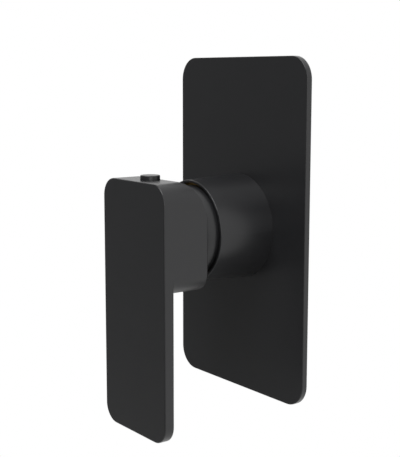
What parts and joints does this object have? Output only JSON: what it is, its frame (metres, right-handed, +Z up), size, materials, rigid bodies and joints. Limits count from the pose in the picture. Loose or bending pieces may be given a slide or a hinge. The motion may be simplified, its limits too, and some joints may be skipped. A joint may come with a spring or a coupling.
{
  "type": "concealed wall mixer",
  "caption": "Concealed wall mixer for a shower or bath: flat lever on a rounded hub, tapered sleeve and upright cover plate, over an in-wall brass body.",
  "frame": {"origin": "on the finished wall, on the axis of the cartridge", "axes": "+Z up, +X to the right facing the wall, +Y into the wall"},
  "size_m": [0.088, 0.1005, 0.1607],
  "materials": {
    "satin_black": "satin black coating",
    "steel": "machined",
    "brass": "as cast, machined faces",
    "ceramic": "lapped",
    "white_plastic": "moulded",
    "grey_plastic": "moulded",
    "rubber": "matt",
    "foam": "closed cell foam",
    "fibre": "pressed fibre"
  },
  "bodies": {
    "fixed": {"valve_body": "brass", "outlet_plug": "brass", "plug_washer": "fibre", "plate_gasket": "foam", "cover_plate": "satin_black", "sleeve": "satin_black", "sleeve_ring": "rubber", "dome_collar": "satin_black", "retaining_nut": "brass", "cartridge_housing": "grey_plastic", "cartridge_base": "white_plastic", "base_seals": "rubber", "disc_seals": "rubber", "fixed_disc": "ceramic"},
    "turret": {"turret": "white_plastic", "pivot_pin": "steel"},
    "handle": {"handle": "satin_black", "screw_cover": "satin_black", "grub_screw": "steel", "spindle": "steel"},
    "disc": {"moving_disc": "ceramic", "disc_carrier": "grey_plastic"}
  },
  "joints": [
    {"name": "temperature_turn", "type": "hinge", "parent": "fixed", "child": "turret", "pos_m": [0, -0.0285, 0], "axis": [0, -1, 0], "range_deg": [-45, 45]},
    {"name": "handle_lift", "type": "hinge", "parent": "turret", "child": "handle", "pos_m": [0, -0.0285, 0], "axis": [-1, 0, 0], "range_deg": [0, 25]},
    {"name": "disc_slide", "type": "slide", "parent": "turret", "child": "disc", "axis": [0, 0, -1], "range_m": [0, 0.00476]}
  ],
  "couplings": [
    {"joint": "disc_slide", "follows": "handle_lift", "m_per_rad": 0.010913}
  ]
}
